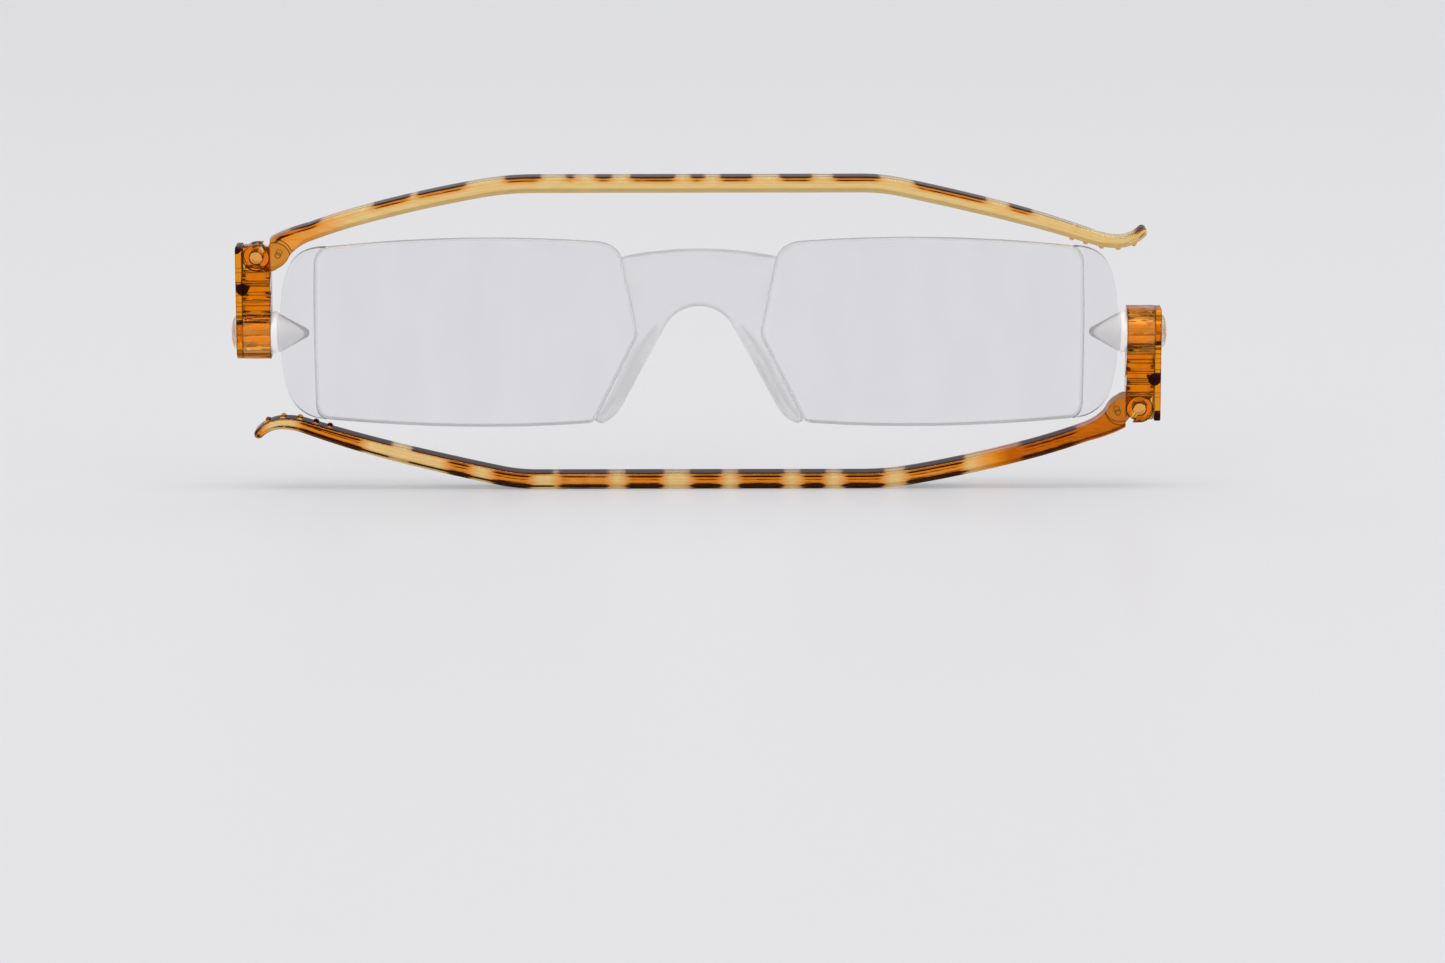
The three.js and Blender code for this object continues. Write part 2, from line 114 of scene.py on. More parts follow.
class GlassesColours(bpy.types.PropertyGroup):
    """Colours of the finished pieces."""
    amber: colour("Amber", "Pale ground of the temples", (1.0, 0.72, 0.31))
    orange: colour("Orange", "Glow round the dark patches", (1.0, 0.31, 0.010))
    brown: colour("Brown", "Deep glow next to the dark patches", (0.50, 0.065, 0.002))
    line: colour("Line", "Dark lines where the plastic's edges show through", (0.006, 0.001, 0.0005))
    sheen: colour("Sheen", "Colour of the amber's reflections, seen straight on", (1.0, 0.42, 0.06))
    patch: colour("Patch", "Dark patches of the tortoiseshell", (0.036, 0.007, 0.005))
    end_piece: colour("End piece", "Deep amber of the end pieces", (0.92, 0.225, 0.002))
    plate: colour("Side plate", "Brighter amber of the side plates", (1.0, 0.34, 0.01))
    pin: colour("Hinge pin", "Light amber of the hinge pins", (0.97, 0.42, 0.06))
    lens: colour("Lens", "Tint of the lenses", (0.915, 0.915, 0.925))
    swivel_pin: colour("Swivel pin", "Pale plastic of the swivel pins", (0.97, 0.83, 0.70))
    clear: colour("Clear", "Clear plastic of the lugs", (0.92, 0.915, 0.925))
    milky: colour("Milky", "Satin plastic of the bridge", (0.93, 0.93, 0.94))
    boss: colour("Boss", "Milky plastic of the lugs' cones", (0.81, 0.80, 0.81))
    washer: colour("Washer", "Milky plastic of the washers", (0.93, 0.92, 0.92))


class GlassesStage(bpy.types.PropertyGroup):
    """Camera, light and floor."""
    focal_length: number("Focal length", "Camera focal length in mm", 139.5, min=10, max=400)
    pitch: angle("Pitch", "How far the camera looks down", 12.25)
    roll: angle("Roll", "How far the camera is turned about its view", 0.1)
    distance: length("Distance", "Camera to the object", 872.3 * MM, high=10.0)
    aim_right: length("Aim right", "How far right of the middle the camera looks", 3.58 * MM)
    aim_up: length("Aim up", "How far above the floor line the camera looks", 0.753 * MM)
    floor_colour: colour("Floor", "Colour of the floor and backdrop", (0.40, 0.40, 0.41))
    key_power: number("Key light", "Power of the light overhead, in watts", 10.0, min=0)
    sky_strength: number("Sky", "Strength of the light from all round", 1.10, min=0)


def settings(group):
    """One of the scene's property groups."""
    return getattr(bpy.context.scene, f"glasses_{group}")


# ---------------- shader maths

class Graph:
    """A material's or a world's node tree, with one method that adds any node."""

    def __init__(self, name, owner=None):
        self.owner = owner or bpy.data.materials.new(name)
        self.owner.use_nodes = True
        self.tree = self.owner.node_tree
        self.tree.nodes.clear()

    def node(self, kind, setup=None, out=0, **sockets):
        """Adds a node of a kind: its own settings first, then the values or links of its sockets.
        Sockets are named with _ for a space, or s0, s1... by number."""
        made = self.tree.nodes.new(kind)
        for key, value in (setup or {}).items():
            setattr(made, key, value)
        for key, value in sockets.items():
            numbered = key[0] == "s" and key[1:].isdigit()
            socket = made.inputs[int(key[1:])] if numbered else made.inputs[key.replace("_", " ")]
            if isinstance(value, Value):
                self.tree.links.new(value.socket, socket)
            elif hasattr(value, "__len__") and len(value) == 3 and socket.type == "RGBA":
                socket.default_value = (*value, 1)
            else:
                socket.default_value = value
        return Value(self, made.outputs[out])

    def maths(self, operation, *values):
        """A Math node."""
        return self.node("ShaderNodeMath", {"operation": operation},
                         **{f"s{i}": value for i, value in enumerate(values)})

    def mix(self, factor, first, second):
        """A colour between two, by a factor from 0 to 1."""
        return self.node("ShaderNodeMix", {"data_type": "RGBA"}, out=2, s0=factor, s6=first, s7=second)

    def step(self, value, low, high):
        """Rises smoothly from 0 at low to 1 at high."""
        return self.node("ShaderNodeMapRange", {"interpolation_type": "SMOOTHSTEP"},
                         Value=value, From_Min=low, From_Max=high)

    def attribute(self, name):
        """A number that the mesh holds at each vertex."""
        return self.node("ShaderNodeAttribute", {"attribute_name": name}, out=2)

    def place(self):
        """Object coordinates."""
        return self.node("ShaderNodeTexCoord", out=3)

    def stretched(self, scale):
        """Object coordinates, scaled for a texture."""
        return self.node("ShaderNodeMapping", Vector=self.place(), Scale=scale)

    def noise(self, where, scale, detail=3.0, roughness=0.5):
        """Noise from 0 to 1."""
        return self.node("ShaderNodeTexNoise", Vector=where, Scale=scale, Detail=detail, Roughness=roughness)

    def bump(self, height, distance, strength=1.0):
        """A Bump node's normal, for a height from 0 to 1 that stands for distance in metres."""
        return self.node("ShaderNodeBump", Height=height, Distance=distance, Strength=strength)

    def plastic(self, **sockets):
        """A Principled shader."""
        return self.node("ShaderNodeBsdfPrincipled", **sockets)

    def finish(self, surface):
        """Links the surface to the output, and returns the material or world."""
        world = isinstance(self.owner, bpy.types.World)
        made = self.tree.nodes.new("ShaderNodeOutputWorld" if world else "ShaderNodeOutputMaterial")
        self.tree.links.new(surface.socket, made.inputs["Surface"])
        return self.owner


class Value:
    """A number carried by a socket, so that shader maths is written as plain expressions."""

    def __init__(self, graph, socket):
        self.graph, self.socket = graph, socket

    def __add__(self, other):
        return self.graph.maths("ADD", self, other)

    def __sub__(self, other):
        return self.graph.maths("SUBTRACT", self, other)

    def __rsub__(self, other):
        return self.graph.maths("SUBTRACT", other, self)

    def __mul__(self, other):
        return self.graph.maths("MULTIPLY", self, other)

    def __pow__(self, other):
        return self.graph.maths("POWER", self, other)

    __radd__ = __add__
    __rmul__ = __mul__


# ---------------- materials

PLASTIC_IOR = 1.49
WEAR_DEPTH = 0.02 * MM  # how deep the fine marks of wear are in amber
FINE_GRAIN, WEAR_GRAIN = 2600, 500  # noise scales
EAR_TONE, TANG_TONE = (1.0, 0.62, 0.22), (0.66, 0.24, 0.03)
# BORE_TONE is the paler ground round the bores; the other two are a painted band of light and a painted glow
# near the end piece's rounded end
BORE_TONE, PAINTED_LIGHT_TONE, PAINTED_GLOW_TONE = (1.0, 0.56, 0.12), (1.0, 0.78, 0.62), (1.0, 0.45, 0.2)
BLACK = (0.0, 0.0, 0.0)

# Dark layers in each temple's patches: the height from the inner to the outer face, a half width, and how
# dark. The first of each side lies on the face that looks up and is partly the patch's own colour, partly
# painted shade. Their brown halo is wider than they are.
LAYERS_AND_TOP_SHADE = {"right": ((1.0, 0.11, 1.0), (0.79, 0.06, 0.66)),
          "left": ((0.0, 0.06, 1.0), (0.19, 0.09, 0.82), (0.62, 0.06, 0.6), (0.97, 0.14, 0.9))}
HALO = 2.4
STEP_LINE = 0.60  # the height of the faint line along each temple

# Outlines at each hinge: rings round the axis and round the tang's middle, and the moulding gate's mark on
# the tang. A ring is a radius and a half width in mm, and a place is in mm along and up from the axis.
PIN_RIM, EAR_RIM, TANG_RIM, GATE_RIM = (1.04, 0.10), (2.03, 0.12), (2.45, 0.13), (0.42, 0.16)
TANG_AT, GATE_AT = (2.9, 0), (3.4, 0.45)

# Dark lines across each end piece: a distance in mm from the swivel axis towards the hinge, a half width,
# and how dark. The one at -2.85 mm is painted shade where the barrel's end rounds off. The seams are the
# same, from the middle of the glasses.
BLOCK_LINES_AND_END_SHADE = ((7.65, 0.18, 0.95), (6.25, 0.12, 0.8), (4.55, 0.12, 0.7), (3.1, 0.14, 0.9),
               (2.25, 0.30, 0.85), (0.1, 0.09, 0.6), (-2.85, 0.25, 0.8), (9.9, 0.12, 0.6))
PLATE_SEAM = 70.42
SEAM_LINES = ((PLATE_SEAM, 0.13, 0.9), (71.38, 0.12, 0.6), (66.2, 0.14, 0.7))
# Dark blots of the end piece: outwards and towards the hinge, and a radius, in mm.
BLOTS = ((PLATE_SEAM, 7.2, 1.5), (71.2, 13.5, 1.2))


def tinted(tone, *shares):
    """A colour with each of its parts scaled."""
    return tuple(part * share for part, share in zip(tone, shares))


def ring(graph, radius, at, width):
    """1 on a ring about an axis, falling to 0 at width on both sides."""
    return 1 - graph.step(graph.maths("ABSOLUTE", radius - at), 0.3 * width, width)


def rim(graph, radius, size):
    """A ring given by its radius and half width in mm."""
    return ring(graph, radius, size[0] * MM, size[1] * MM)


def from_axis(graph, side_name, along, up):
    """The distance, seen from the front, to a point of a temple that is along it and up from its hinge axis,
    in mm."""
    at = HINGE[side_name] - SIDES[side_name] * MM * np.array([along, 0, up])
    flat = graph.node("ShaderNodeVectorMath", {"operation": "MULTIPLY"}, s0=graph.place(), s1=(1, 0, 1))
    return graph.node("ShaderNodeVectorMath", {"operation": "DISTANCE"}, out=1, s0=flat,
                      s1=(at[0], 0, at[2]))


def patched(graph, tone, rough, patch, painted_glow=None):
    """See-through amber of a tone, with opaque dark patches, and a painted glow where one is given."""
    look = settings("colours")
    wear = graph.bump(graph.noise(graph.place(), WEAR_GRAIN, 3), WEAR_DEPTH, 0.25)
    lit = {"Emission_Color": painted_glow, "Emission_Strength": 1.0} if painted_glow else {}
    amber = graph.plastic(Base_Color=tone, Roughness=rough, IOR=PLASTIC_IOR, Transmission_Weight=1.0,
                          Normal=wear, Specular_Tint=tuple(look.sheen), **lit)
    dark = graph.plastic(Base_Color=tuple(look.patch), Roughness=rough + 0.04, IOR=PLASTIC_IOR,
                         Specular_IOR_Level=0.04, Specular_Tint=tuple(look.sheen), Normal=wear)
    return graph.finish(graph.node("ShaderNodeMixShader", s0=patch, s1=amber, s2=dark))


def tortoiseshell(side_name):
    """Polished amber with dark layers in its patches, one of them on the face that looks up and partly
    painted shade there, an orange and brown glow round them, and the hinge's outlines. The mesh holds where
    the patches and the painted shade of the lower temple's upward face are (patch), how orange a place is
    (glow), and how high it is from the inner to the outer face (rise)."""
    look = settings("colours")
    orange, brown = tuple(look.orange), tuple(look.brown)
    g = Graph(f"tortoiseshell_{side_name}")
    cloud = g.noise(g.stretched((1, 1, 6)), 260, 4, 0.6)
    streak = g.noise(g.stretched((0.14, 1, 1)), 2300, 3, 0.6)
    fine = g.noise(g.place(), FINE_GRAIN, 2)
    rise, dark_zone, near_dark = g.attribute("rise"), g.attribute("patch"), g.attribute("glow")
    layers = halo = 0
    # the first layer of each side, on the face that looks up, is partly painted shade
    for at, half_width, strength in LAYERS_AND_TOP_SHADE[side_name]:
        layers = g.maths("MAXIMUM", strength * ring(g, rise, at, half_width), layers)
        halo = g.maths("MAXIMUM", strength * ring(g, rise, at, HALO * half_width), halo)
    patch = g.step(dark_zone * layers + 0.3 * (cloud - 0.5) + 0.75 * (streak - 0.5) * dark_zone, 0.34, 0.68)
    glow = g.step(near_dark + 0.6 * (streak - 0.5) + 0.4 * (cloud - 0.5), 0.05, 0.95)
    deep = g.step(near_dark + 0.5 * (streak - 0.5) + 0.3 * (cloud - 0.5), 0.75, 1.5)
    line = 1 - g.step(g.maths("ABSOLUTE", rise - STEP_LINE), 0.012, 0.045)
    ground = g.mix(g.step(streak, 0.35, 0.7), tuple(look.amber), tinted(look.amber, 0.97, 0.88, 0.74))
    lined = g.mix(0.55 * line, ground, orange)
    glowing = g.mix(deep, g.mix(glow, lined, orange), brown)
    glowing = g.mix(g.maths("MINIMUM", 0.6 * halo * dark_zone, 0.5), glowing, brown)

    pin, tang, gate = (from_axis(g, side_name, *at) for at in ((0, 0), TANG_AT, GATE_AT))
    on_ear = 1 - g.step(pin, 2.05 * MM, 2.15 * MM)
    on_tang = (1 - g.step(tang, 2.4 * MM, 2.5 * MM)) * (1 - on_ear)
    hinge = g.mix(on_ear, g.mix(0.55 * on_tang, glowing, TANG_TONE), EAR_TONE)
    rims = rim(g, pin, PIN_RIM) + rim(g, pin, EAR_RIM)
    marks = rim(g, tang, TANG_RIM) * (1 - on_ear) + 0.8 * rim(g, gate, GATE_RIM)
    tone = g.mix(g.maths("MINIMUM", rims + marks, 0.96), hinge, tuple(look.line))
    return patched(g, tone, g.step(fine, 0.2, 0.9) * 0.04 + 0.03 + 0.2 * on_tang, patch)


def amber_block(side_name, plate=False):
    """Deep amber with darker wisps, dark lines at its steps, a band of painted shade where the barrel's end
    rounds off, and dark blots, for the end piece or the side plate of one side. The end piece is paler where
    it is bored, with a pale band of painted light and a faint painted glow near its rounded end."""
    look = settings("colours")
    g = Graph(f"amber_{'plate' if plate else 'block'}_{side_name}")
    wisp = g.noise(g.stretched((1, 1, 0.5)), 420, 4, 0.6)
    cloud = g.noise(g.stretched((1, 1, 1.6)), 190, 3, 0.6)
    fine = g.noise(g.place(), FINE_GRAIN, 2)
    across, height = (g.node("ShaderNodeSeparateXYZ", out=axis, Vector=g.place()) for axis in (0, 2))
    down = SIDES[side_name] * (SWIVEL_HEIGHT - height)
    out = SIDES[side_name] * across
    ground = g.mix(g.step(wisp, 0.45, 0.75), tuple(look.end_piece), tinted(look.end_piece, 0.85, 0.70, 0.6))
    if plate:
        plain, painted_glow = g.mix(0.8, ground, tuple(look.plate)), None
    else:
        light = ring(g, down, -0.1 * MM, 3.4 * MM) + g.step(down, 9.6 * MM, 10.2 * MM)
        plain = g.mix(g.maths("MINIMUM", light, 0.85), ground, BORE_TONE)
        # a pale band of painted light near the rounded end, and a faint painted glow over it
        plain = g.mix(0.6 * ring(g, down, -2.3 * MM, 0.65 * MM), plain, PAINTED_LIGHT_TONE)
        painted_glow = g.mix(0.08 * ring(g, down, -2.0 * MM, 0.75 * MM), BLACK, PAINTED_GLOW_TONE)
    wavy = down + 0.25 * MM * (cloud - 0.5)
    # the dark lines at the steps and seams, with a band of painted shade where the barrel's end rounds off
    lines = 0
    for where, drawn in ((wavy, BLOCK_LINES_AND_END_SHADE), (out, SEAM_LINES)):
        for at, half_width, strength in drawn:
            lines = strength * ring(g, where, at * MM, half_width * MM) + lines
    tone = g.mix(g.maths("MINIMUM", lines, 0.95), plain, tuple(look.line))
    blots = 0
    for outwards, along, radius in BLOTS:
        gap = g.maths("SQRT", (out - outwards * MM) ** 2 + (down - along * MM) ** 2)
        blots = ring(g, gap, 0, radius * MM) + blots
    patch = g.step(blots + 0.5 * (cloud - 0.5) + 0.15 * (fine - 0.5), 0.48, 0.62)
    return patched(g, tone, g.step(fine, 0.2, 0.9) * 0.05 + 0.05, patch, painted_glow)


def clear_plastic(name, tint, haze, grain, milk=0.0, glow=0.0, edge=None):
    """Moulded plastic: a tint, a little haze, and flow marks in its surface, grain deep. Milk, from 0 to 1,
    is how much of it is opaque satin: all over, or times the mesh's attribute edge. It glows faintly, in
    place of light that scatters inside it, and with an edge only the satin does."""
    g = Graph(name)
    flow = g.noise(g.stretched((1, 1, 0.4)), 160, 3)
    fine = g.noise(g.place(), 1800, 3)
    tone = g.mix(g.step(flow, 0.3, 0.75), tuple(tint), tinted(tint, 0.965, 0.965, 0.965))
    rough = haze + 0.05 * fine
    wear = g.bump(0.6 * flow + 0.4 * fine, grain, 0.3)
    lit = {"Emission_Color": tuple(tint), "Emission_Strength": glow}
    clear = g.plastic(Base_Color=tone, Roughness=rough, IOR=PLASTIC_IOR, Transmission_Weight=1.0,
                      Normal=wear, **({} if edge else lit))
    if not milk:
        return g.finish(clear)
    satin = g.plastic(Base_Color=tone, Roughness=rough + 0.2, IOR=PLASTIC_IOR, Normal=wear, **lit)
    share = milk * g.attribute(edge) if edge else milk
    return g.finish(g.node("ShaderNodeMixShader", s0=share, s1=clear, s2=satin))


# ---------------- mesh work

def on_scene(name, data):
    """A new object on the scene."""
    thing = bpy.data.objects.new(name, data)
    bpy.context.scene.collection.objects.link(thing)
    return thing


def paint(thing, material):
    """Gives a mesh one material."""
    thing.data.materials.clear()
    thing.data.materials.append(material)


def settle(thing, body, material, replaced, sharp):
    """Shades a piece, paints it, puts it on the body it rides on, and hides the CAD parts it stands in for.
    """
    mesh = thing.data
    mesh.shade_smooth()
    mesh.set_sharp_from_angle(angle=math.radians(sharp))
    paint(thing, material)
    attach(thing, body)
    if replaced:
        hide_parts(*replaced)
    return thing


def merged_copy(node, name, body, material, sharp):
    """A copy of a CAD node with its loose triangles merged, so that its curves can be shaded smooth."""
    made = bmesh.new()
    made.from_mesh(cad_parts[node].data)
    bmesh.ops.remove_doubles(made, verts=made.verts, dist=1e-6)
    bmesh.ops.dissolve_degenerate(made, edges=made.edges, dist=1e-7)
    mesh = bpy.data.meshes.new(name)
    made.to_mesh(mesh)
    made.free()
    return settle(on_scene(name, mesh), body, material, (node,), sharp)


def points_of(mesh):
    """A mesh's points as an array."""
    points = np.empty(3 * len(mesh.vertices), np.float32)
    mesh.vertices.foreach_get("co", points)
    return points.reshape(-1, 3)


def hold(mesh, key, values):
    """Holds a number at each of a mesh's vertices."""
    mesh.attributes.new(key, "FLOAT", "POINT").data.foreach_set("value", values.astype(np.float32))


def bezier(count, *controls):
    """Points of a Bezier curve: its control points, weighted by the Bernstein polynomials."""
    t = np.linspace(0, 1, count)[:, None]
    order = len(controls) - 1
    return sum(math.comb(order, i) * (1 - t) ** (order - i) * t ** i * np.array(point)
               for i, point in enumerate(controls))


def grid_faces(rows, columns):
    """Faces of a grid that closes round its columns: each joins four neighbours."""
    row, column = np.meshgrid(np.arange(rows - 1), np.arange(columns), indexing="ij")
    after = (column + 1) % columns
    return np.stack([row * columns + column, row * columns + after, (row + 1) * columns + after,
                     (row + 1) * columns + column], -1).reshape(-1, 4)


def carried(points):
    """Points and faces of sections carried along a route, one row for each station, with flat ends."""
    rows, columns = points.shape[:2]
    ends = [list(range(columns))[::-1], [(rows - 1) * columns + i for i in range(columns)]]
    return points.reshape(-1, 3), [*grid_faces(rows, columns).tolist(), *ends]


def closed_rings(rings, first_pole, last_pole):
    """Points and faces of a closed surface: a stack of rings, shut at both ends by a fan to a pole."""
    rows, columns = rings.shape[:2]
    points = np.concatenate([rings.reshape(-1, 3), [first_pole], [last_pole]])
    last, pole = (rows - 1) * columns, rows * columns
    first_fan = [(pole, (i + 1) % columns, i) for i in range(columns)]
    last_fan = [(pole + 1, last + i, last + (i + 1) % columns) for i in range(columns)]
    return points, [*grid_faces(rows, columns).tolist(), *first_fan, *last_fan]


def slab(outline, low, high):
    """Points and faces of a flat outline in X and Z with a thickness along Y. The outline runs so that X
    turns towards Z."""
    return carried(np.stack([np.insert(outline, 1, y, axis=1) for y in (low, high)]))


def joined(parts):
    """Several closed surfaces as one list of points and faces."""
    points, faces, start = [], [], 0
    for part_points, part_faces in parts:
        points.append(part_points)
        faces += [[start + index for index in face] for face in part_faces]
        start += len(part_points)
    return np.concatenate(points), faces


def loose_object(name, points, faces):
    """A plain object from points and faces, with its faces turned outwards."""
    mesh = bpy.data.meshes.new(name)
    mesh.from_pydata(points.tolist(), [], [list(map(int, face)) for face in faces])
    made = bmesh.new()
    made.from_mesh(mesh)
    bmesh.ops.recalc_face_normals(made, faces=made.faces)
    made.to_mesh(mesh)
    made.free()
    return on_scene(name, mesh)


def united(base, added):
    """The union of two closed objects, as the first one's mesh. The second is used up."""
    modifier = base.modifiers.new("union", "BOOLEAN")
    modifier.operation, modifier.solver, modifier.object = "UNION", "EXACT", added
    evaluated = base.evaluated_get(bpy.context.evaluated_depsgraph_get())
    mesh = bpy.data.meshes.new_from_object(evaluated)
    base.modifiers.clear()
    base.data = mesh
    bpy.data.objects.remove(added)
    return base


# ---------------- temples

OWN_FRAME = np.array([-1, 1, -1])  # a temple's own frame runs along the front and away from it
RISING = ((9, -5), (18, -5), (8.5, -10))  # spans of the bar, each a length in mm and a turn in degrees
FALLING = ((6, -12), (14.5, -2), (16.5, -4.8), (3.6, 18.8), (4.2, 46))
TIP_PAST = 0.1 * MM  # how far the tip reaches past the other hinge's axis
TAPER_POWER = 2.6
STATION = 0.25 * MM
FLARE_PULL, UNDER_PULL = np.array([2.4, 1.3]) * MM, np.array([2.4, 0.8]) * MM
HEEL_HEIGHT, HEEL_PULL = 0.3 * MM, (0.8 * MM, -1.6 * MM)
EAR_BORE, EAR_INSIDE, EAR_OUTSIDE = 1.0 * MM, 1.0 * MM, 1.85 * MM
MOUTH_WIDTH, MOUTH_LEAN = 0.9 * MM, 52
BUMP_RADIUS, BUMP_SINK, BUMP_START, BUMP_PITCH = 0.5 * MM, 0.12 * MM, 1.9 * MM, 2.35 * MM
BUMP_ROWS, BUMP_COUNT = 2.5 * MM, 5

# Dark patches along each bar: from and to, in mm from the hinge axis, and how dark.
PATCHES = {
    "right": ((2.3, 10, 1), (18.1, 23.9, 1), (24.8, 32.6, 0.9), (38.4, 44, 1), (47.5, 49.5, 0.8),
              (52.2, 55.1, 0.9), (57.7, 64.7, 1), (66.7, 69.3, 0.8), (71.5, 76.5, 1), (80.7, 85.7, 1),
              (88.9, 96.1, 1), (101.4, 112.5, 1), (116, 119.8, 0.9), (135.4, 139, 0.9)),
    "left": ((9.5, 18.7, 0.75), (27, 36.3, 0.9), (39.5, 46, 1), (48.6, 52.6, 0.95), (55.2, 62.3, 1),
             (64.7, 69.8, 0.95), (73.9, 79.8, 1), (82.1, 90.6, 0.75), (94.4, 100.6, 1),
             (103.7, 107.7, 0.95), (120.5, 130.5, 1), (135.6, 139, 0.9)),
}
# Dark bands on the lower temple's upward face, from and to in mm and how dark: partly that face's own dark
# colour, partly painted shade
UPWARD_PATCHES_AND_SHADE = ((91, 113, 1), (116, 137, 1))  # on the lower temple's upward face only
UPWARD_FACE = 0.08  # the rise under which that face lies
# The orange root of each bar: how far it reaches from the hinge axis and over what length it fades, in mm,
# how strong it is, and the least glow of the whole bar.
ROOT_GLOW = {"right": (17, 9, 0.65, 0.08), "left": (27, 7, 1.05, 0.17)}


def walk(spans, start, fineness):
    """Points and headings along spans that turn evenly: the sum of short steps along the heading."""
    steps = [max(2, int(math.ceil(span / fineness))) for span, _ in spans]
    step = np.concatenate([np.full(n, span / n) for n, (span, _) in zip(steps, spans)])
    turn = np.concatenate([np.full(n, turn / n) for n, (_, turn) in zip(steps, spans)])
    heading = start[2] + np.cumsum(turn)
    halfway = np.radians(heading - turn / 2)
    x = start[0] + np.cumsum(step * np.cos(halfway))
    z = start[1] + np.cumsum(step * np.sin(halfway))
    return np.stack([x, z, heading], -1)


def middle_line():
    """The middle of the bar, from the hinge axis: it rises in an arch, runs straight, falls and hooks up."""
    size = settings("sizes")
    rising = [(span * MM, turn) for span, turn in RISING]
    falling = [(span * MM, turn) for span, turn in FALLING]
    heading = -sum(turn for _, turn in rising)
    rise = walk(rising, (0, 0, heading), 3 * MM)[-1, 1]
    start = (size.bar_start, size.arch_height + size.temple_thickness / 2 - rise, heading)
    reach = walk(rising + falling, start, STATION)[-1, 0]
    straight = HINGE["left"][0] - HINGE["right"][0] + TIP_PAST - reach
    line = walk(rising + [(straight, 0)] + falling, start, STATION)
    line = np.concatenate([[start], line])
    gone = np.clip(1 - (line[-1, 0] - line[:, 0]) / size.taper_length, 0, 1) ** TAPER_POWER
    half = (size.temple_thickness + (size.tip_thickness - size.temple_thickness) * gone) / 2
    return line, half


def temple_edges():
    """The bar's outer and inner edges, station by station, from the root's end face to the tip."""
    size = settings("sizes")
    line, half = middle_line()
    turned = np.radians(line[:, 2])
    across = np.stack([-np.sin(turned), np.cos(turned)], -1)
    outer = line[:, :2] + half[:, None] * across
    inner = line[:, :2] - half[:, None] * across
    root = np.array([size.root_start, size.root_height])
    count = 40
    flare = bezier(count, root, root + FLARE_PULL, outer[0])
    heel = np.array([size.heel_reach, HEEL_HEIGHT])
    toe = np.array([size.root_start, -size.ear_radius])
    below = bezier(22, toe, (heel[0] - HEEL_PULL[0], HEEL_PULL[1]), heel)
    beyond = bezier(count - 21, heel, inner[0] - UNDER_PULL, inner[0])
    under = np.concatenate([below, beyond[1:]])
    lean = np.linspace(0, np.pi / 2, 9)[1:, None]
    tip, tip_half = line[-1, :2], half[-1]
    ahead = np.array([math.cos(turned[-1]), math.sin(turned[-1])])
    wide = np.cos(lean)
    wide[-1] = 0.02  # the last station is nearly shut, so that the end closes without a crease
    caps = [tip + tip_half * (sign * wide * across[-1] + np.sin(lean) * ahead) for sign in (1, -1)]
    return np.concatenate([flare[:-1], outer, caps[0]]), np.concatenate([under[:-1], inner, caps[1]])


def bar_section(half_height, half_depth, rounding):
    """Round a rounded rectangle: offsets in depth and height, one row for each station. Four quarter arcs
    joined by straight runs, with points along them."""
    turn = np.linspace(0, np.pi / 2, 5)
    depth, height = [], []
    for corner, (sign_d, sign_h) in enumerate(((1, 1), (-1, 1), (-1, -1), (1, -1))):
        bend = turn + corner * np.pi / 2
        depth.append(sign_d * (half_depth - rounding)[:, None] + rounding[:, None] * np.cos(bend))
        height.append(sign_h * (half_height - rounding)[:, None] + rounding[:, None] * np.sin(bend))
        across = corner in (0, 2)  # across the outer or inner face, or else down the front or back
        for part in np.linspace(1, -1, 5 if across else 9)[1:-1]:
            flat = part * sign_d * (half_depth - rounding) if across else sign_d * half_depth
            tall = sign_h * half_height if across else part * sign_h * (half_height - rounding)
            depth.append(flat[:, None])
            height.append(tall[:, None])
    return np.concatenate(depth, 1), np.concatenate(height, 1)


def bar_mesh():
    """A rounded bar carried from the root to the tip: between the outer and the inner edge of each station,
    with the hinge end closed flat and the tip rounded off."""
    size = settings("sizes")
    outer, inner = temple_edges()
    centre = (outer + inner) / 2
    span = outer - inner
    half = np.linalg.norm(span, axis=1) / 2
    across = span / (2 * half)[:, None]
    rounding = np.minimum(size.temple_round, 0.9 * half)
    gap = np.linalg.norm(centre - centre[-1], axis=1)
    edge = np.clip(gap / size.temple_round, 0.12, 1)
    half_depth = size.temple_depth / 2 - size.temple_round * (1 - np.sqrt(1 - (1 - edge) ** 2))
    depth, height = bar_section(half, half_depth, rounding)
    x = centre[:, :1] + height * across[:, :1]
    z = centre[:, 1:] + height * across[:, 1:]
    return carried(np.stack([x, depth, z], -1))


def ear_outline():
    """A ring round the hinge pin that is open at its mouth, with a neck into the root: outside and inside
    arcs joined by the mouth's two parallel walls."""
    size = settings("sizes")
    outer, inner, half_mouth = size.ear_radius, EAR_BORE, MOUTH_WIDTH / 2
    lean = math.radians(MOUTH_LEAN)
    open_by = math.asin(half_mouth / inner)
    ahead = np.array([math.cos(lean), math.sin(lean)])
    aside = np.array([-math.sin(lean), math.cos(lean)])
    reach = [(outer - sign * half_mouth * aside[1]) / ahead[1] for sign in (1, -1)]
    lips = [reach[i] * ahead + sign * half_mouth * aside for i, sign in enumerate((1, -1))]
    back = np.linspace(math.pi / 2, 1.5 * math.pi, 40)
    bore = np.linspace(lean - open_by, lean + open_by - 2 * math.pi, 48)
    end = size.root_start + 1 * MM
    neck = [[end - 0.7 * MM, -outer], [end, -outer + 0.3 * MM], [end, outer]]
    return np.concatenate([[lips[0]], np.stack([outer * np.cos(back), outer * np.sin(back)], -1), neck,
                           [lips[1]], np.stack([inner * np.cos(bore), inner * np.sin(bore)], -1)])


